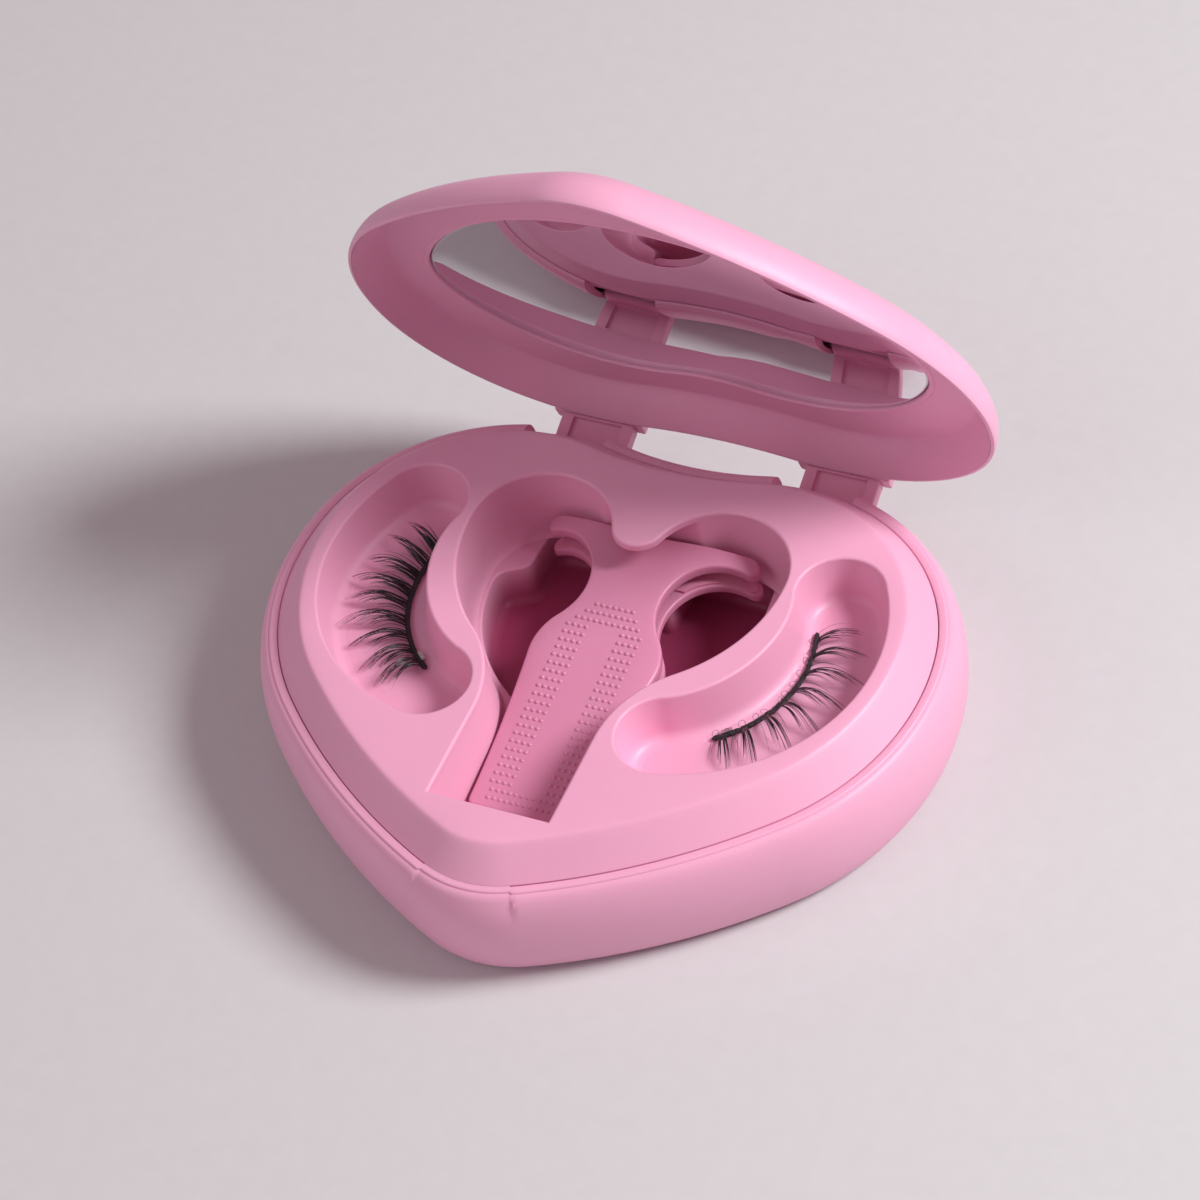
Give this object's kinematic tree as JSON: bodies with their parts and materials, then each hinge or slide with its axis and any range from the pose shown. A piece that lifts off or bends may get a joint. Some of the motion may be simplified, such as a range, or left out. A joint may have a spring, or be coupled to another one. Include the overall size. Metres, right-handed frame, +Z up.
{
  "type": "false eyelash case",
  "caption": "Heart-shaped hinged case for false eyelashes with a lid mirror, crescent wells, a middle groove and a two-armed applicator.",
  "frame": {"origin": "middle of the case's width on the plane it stands on, level with the middle of the wells", "axes": "+Z up, -Y towards the pointed front, +Y towards the hinges, X across the case"},
  "size_m": [0.11, 0.1066, 0.0942],
  "materials": {
    "shell": "satin",
    "tray": "satin",
    "magnet": "plated",
    "pin": "drawn",
    "arm": "satin",
    "frame": "satin",
    "tape": "matt",
    "mirror": "polished",
    "applicator": "satin",
    "strip": "matt",
    "lash_band": "matt",
    "lash_hair": "satin"
  },
  "bodies": {
    "base": {"base_shell": "shell", "inner_tray": "tray", "left_well_magnet": "magnet", "right_well_magnet": "magnet", "tray_catch_magnet": "magnet", "left_hinge_pin": "pin", "right_hinge_pin": "pin"},
    "lid": {"left_hinge_arm": "arm", "right_hinge_arm": "arm", "lid_shell": "shell", "mirror_frame": "frame", "mirror_tape": "tape", "mirror_glass": "mirror", "lid_catch_magnet": "magnet"},
    "applicator": {"lower_blade": "applicator", "lower_jaw_strip": "strip"},
    "squeezed_blade": {"upper_blade": "applicator", "upper_jaw_strip": "strip"},
    "left_lash": {"left_lash_band": "lash_band", "left_lash_hairs": "lash_hair", "left_lash_magnet": "magnet"},
    "right_lash": {"right_lash_band": "lash_band", "right_lash_hairs": "lash_hair", "right_lash_magnet": "magnet"}
  },
  "joints": [
    {"name": "lid_hinge", "type": "hinge", "parent": "base", "child": "lid", "pos_m": [0, 0.0413, 0.0076], "axis": [-1, 0, 0], "range_deg": [-70, 12]},
    {"name": "applicator_lift", "type": "hinge", "parent": "base", "child": "applicator", "pos_m": [0, 0.0279, 0.0183], "axis": [-1, 0, 0], "range_deg": [0, 24]},
    {"name": "applicator_squeeze", "type": "hinge", "parent": "applicator", "child": "squeezed_blade", "pos_m": [0, -0.0224, 0.012], "axis": [-1, 0, 0], "range_deg": [0, 2.5], "stiffness_Nm_per_rad": 0.5},
    {"name": "left_lash_lift", "type": "slide", "parent": "base", "child": "left_lash", "axis": [0, 0, 1], "range_m": [0, 0.02]},
    {"name": "right_lash_lift", "type": "slide", "parent": "base", "child": "right_lash", "axis": [0, 0, 1], "range_m": [0, 0.02]}
  ]
}
